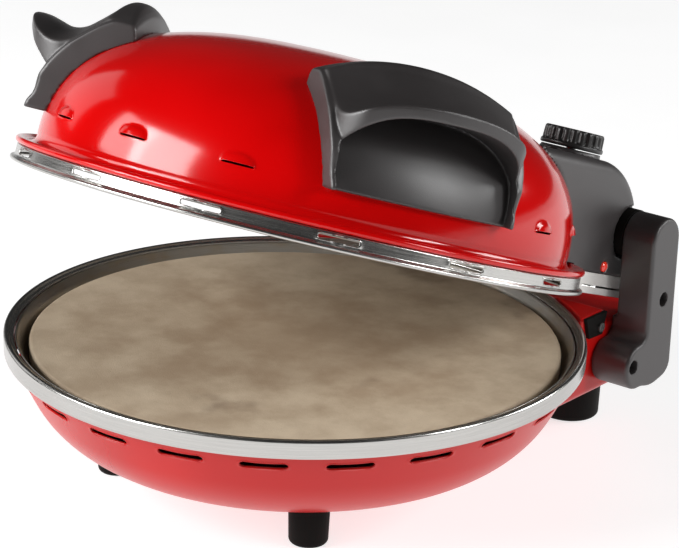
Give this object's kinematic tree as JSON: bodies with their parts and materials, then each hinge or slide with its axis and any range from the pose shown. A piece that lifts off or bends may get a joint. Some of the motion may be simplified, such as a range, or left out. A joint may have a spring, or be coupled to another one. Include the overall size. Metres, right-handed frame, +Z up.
{
  "type": "electric pizza maker",
  "caption": "Countertop pizza oven: shallow round base with a baking stone, domed lid with two side handles, hinged at the back between two arms.",
  "frame": {"origin": "middle of the overall box, on the table the feet stand on", "axes": "+Z up, -Y to the front where the lid opens, +X to the right as seen from the front"},
  "size_m": [0.345, 0.3844, 0.2791],
  "materials": {
    "red_gloss_enamel": "high gloss",
    "red_satin_enamel": "satin",
    "brushed_band": "fine circular brush",
    "reflector_steel": "dull rolled",
    "baking_stone": "dry, fine grain",
    "element_sheath": "heat-darkened",
    "dark_plastic": "fine spark grain",
    "foot_plastic": "satin",
    "knob_plastic": "satin",
    "plated_steel": "zinc plated",
    "terminal_ceramic": "matte",
    "wire_sleeve": "braided sleeve",
    "black_rubber": "matte",
    "insulation_felt": "needled fibre",
    "bush_brass": "turned",
    "lamp_red": "polished"
  },
  "bodies": {
    "base": {"base_shell": "red_satin_enamel", "base_rim_band": "brushed_band", "lower_reflector": "reflector_steel", "baking_stone": "baking_stone", "stone_supports": "reflector_steel", "lower_element": "element_sheath", "lower_element_clips": "reflector_steel", "lower_terminal_block": "terminal_ceramic", "thermal_fuse": "reflector_steel", "hinge_frame": "plated_steel", "rear_cover": "dark_plastic", "rear_cover_screws": "plated_steel", "cord_gland": "black_rubber", "mains_terminal": "terminal_ceramic", "base_wiring": "wire_sleeve", "foot_front_left": "foot_plastic", "foot_front_right": "foot_plastic", "foot_rear_left": "foot_plastic", "foot_rear_right": "foot_plastic", "foot_screws": "plated_steel", "corner_clips": "foot_plastic", "corner_screws": "plated_steel", "arm_left": "dark_plastic", "arm_right": "dark_plastic", "hinge_plate_left": "plated_steel", "hinge_plate_right": "plated_steel", "arm_screws": "plated_steel", "hinge_spacers": "foot_plastic", "hinge_pin_left": "plated_steel", "hinge_pin_right": "plated_steel", "lid_lead": "wire_sleeve"},
    "lid": {"lid_dome": "red_gloss_enamel", "lid_rim_band": "brushed_band", "upper_reflector": "reflector_steel", "insulation_pad": "insulation_felt", "upper_element": "element_sheath", "upper_element_hangers": "reflector_steel", "upper_terminal_block": "terminal_ceramic", "handle_left": "dark_plastic", "handle_right": "dark_plastic", "handle_screws": "plated_steel", "rear_housing": "dark_plastic", "lid_rear_tray": "brushed_band", "hinge_brackets": "plated_steel", "hinge_bushes": "bush_brass", "knob_seat": "foot_plastic", "thermostat": "plated_steel", "thermostat_bulb": "bush_brass", "lid_wiring": "wire_sleeve", "pilot_lamp": "terminal_ceramic", "pilot_lens": "lamp_red"},
    "knob": {"thermostat_shaft": "plated_steel", "thermostat_knob": "knob_plastic"}
  },
  "joints": [
    {"name": "lid_hinge", "type": "hinge", "parent": "base", "child": "lid", "pos_m": [0, 0.16425, 0.1315], "axis": [-1, 0, 0], "range_deg": [-19, 70]},
    {"name": "knob_turn", "type": "hinge", "parent": "lid", "child": "knob", "pos_m": [0.078, 0.14587, 0.18256], "axis": [0, -0.3256, -0.9455], "range_deg": [0, 270]}
  ]
}
